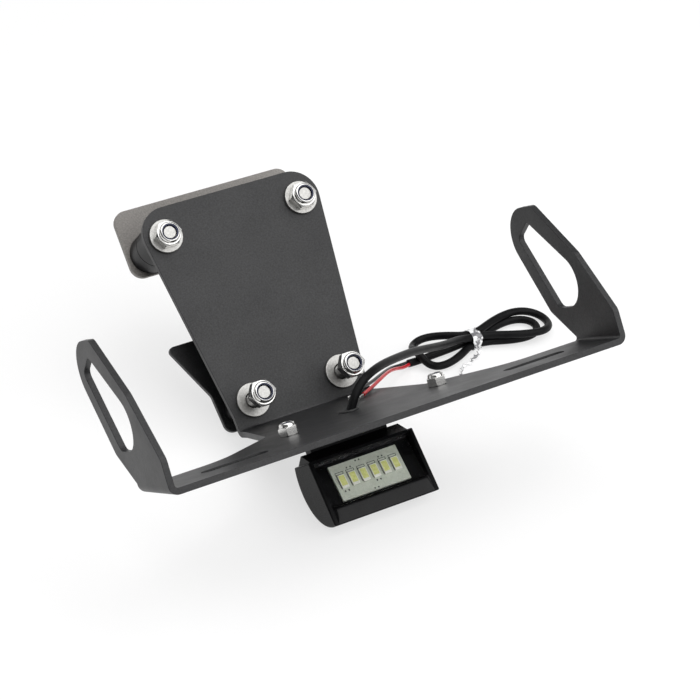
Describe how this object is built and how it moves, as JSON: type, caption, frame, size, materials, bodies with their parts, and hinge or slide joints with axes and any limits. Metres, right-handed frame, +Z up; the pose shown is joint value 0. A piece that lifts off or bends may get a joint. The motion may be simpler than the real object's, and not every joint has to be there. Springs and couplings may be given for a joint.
{
  "type": "motorcycle tail tidy",
  "caption": "Folded sheet bracket that carries a number plate, indicators and a plate light under a motorcycle's tail.",
  "frame": {"origin": "on the surface the bracket stands on, under the middle of the bracket's box without its lead", "axes": "X along the cross bar, +Y from the bar towards the tail plate, +Z up from the surface it stands on"},
  "size_m": [0.227, 0.1748, 0.0877],
  "materials": {
    "powder_coat": "satin powder coat",
    "clamp_coat": "dull dark coat",
    "zinc": "bright zinc plate",
    "nylon": "satin nylon",
    "spacer": "satin",
    "housing": "gloss",
    "window": "clear gloss plastic",
    "board": "satin lacquer",
    "chip": "phosphor under clear resin",
    "grommet": "matt",
    "jacket": "satin vinyl jacket",
    "tie": "translucent film",
    "red_wire": "satin insulation",
    "black_wire": "satin insulation",
    "tinned": "tinned copper"
  },
  "bodies": {
    "root": {"main_bracket": "powder_coat", "upper_clamp_plate": "clamp_coat", "lower_clamp_plate": "powder_coat", "upper_bolts": "zinc", "lower_bolts": "zinc", "upper_washers": "zinc", "lower_washers": "zinc", "upper_nuts": "zinc", "lower_nuts": "zinc", "upper_nut_inserts": "nylon", "lower_nut_inserts": "nylon", "front_spacers": "spacer", "rear_spacers": "spacer", "lower_spacers": "spacer", "light_bolts": "zinc", "light_nuts": "zinc", "light_nut_inserts": "nylon", "light_housing": "housing", "light_window": "window", "light_board": "board", "light_chips": "chip", "grommet": "grommet", "lead": "jacket", "cable_hank": "jacket", "cable_tie": "tie", "red_wire": "red_wire", "black_wire": "black_wire", "wire_ends": "tinned"}
  },
  "joints": []
}
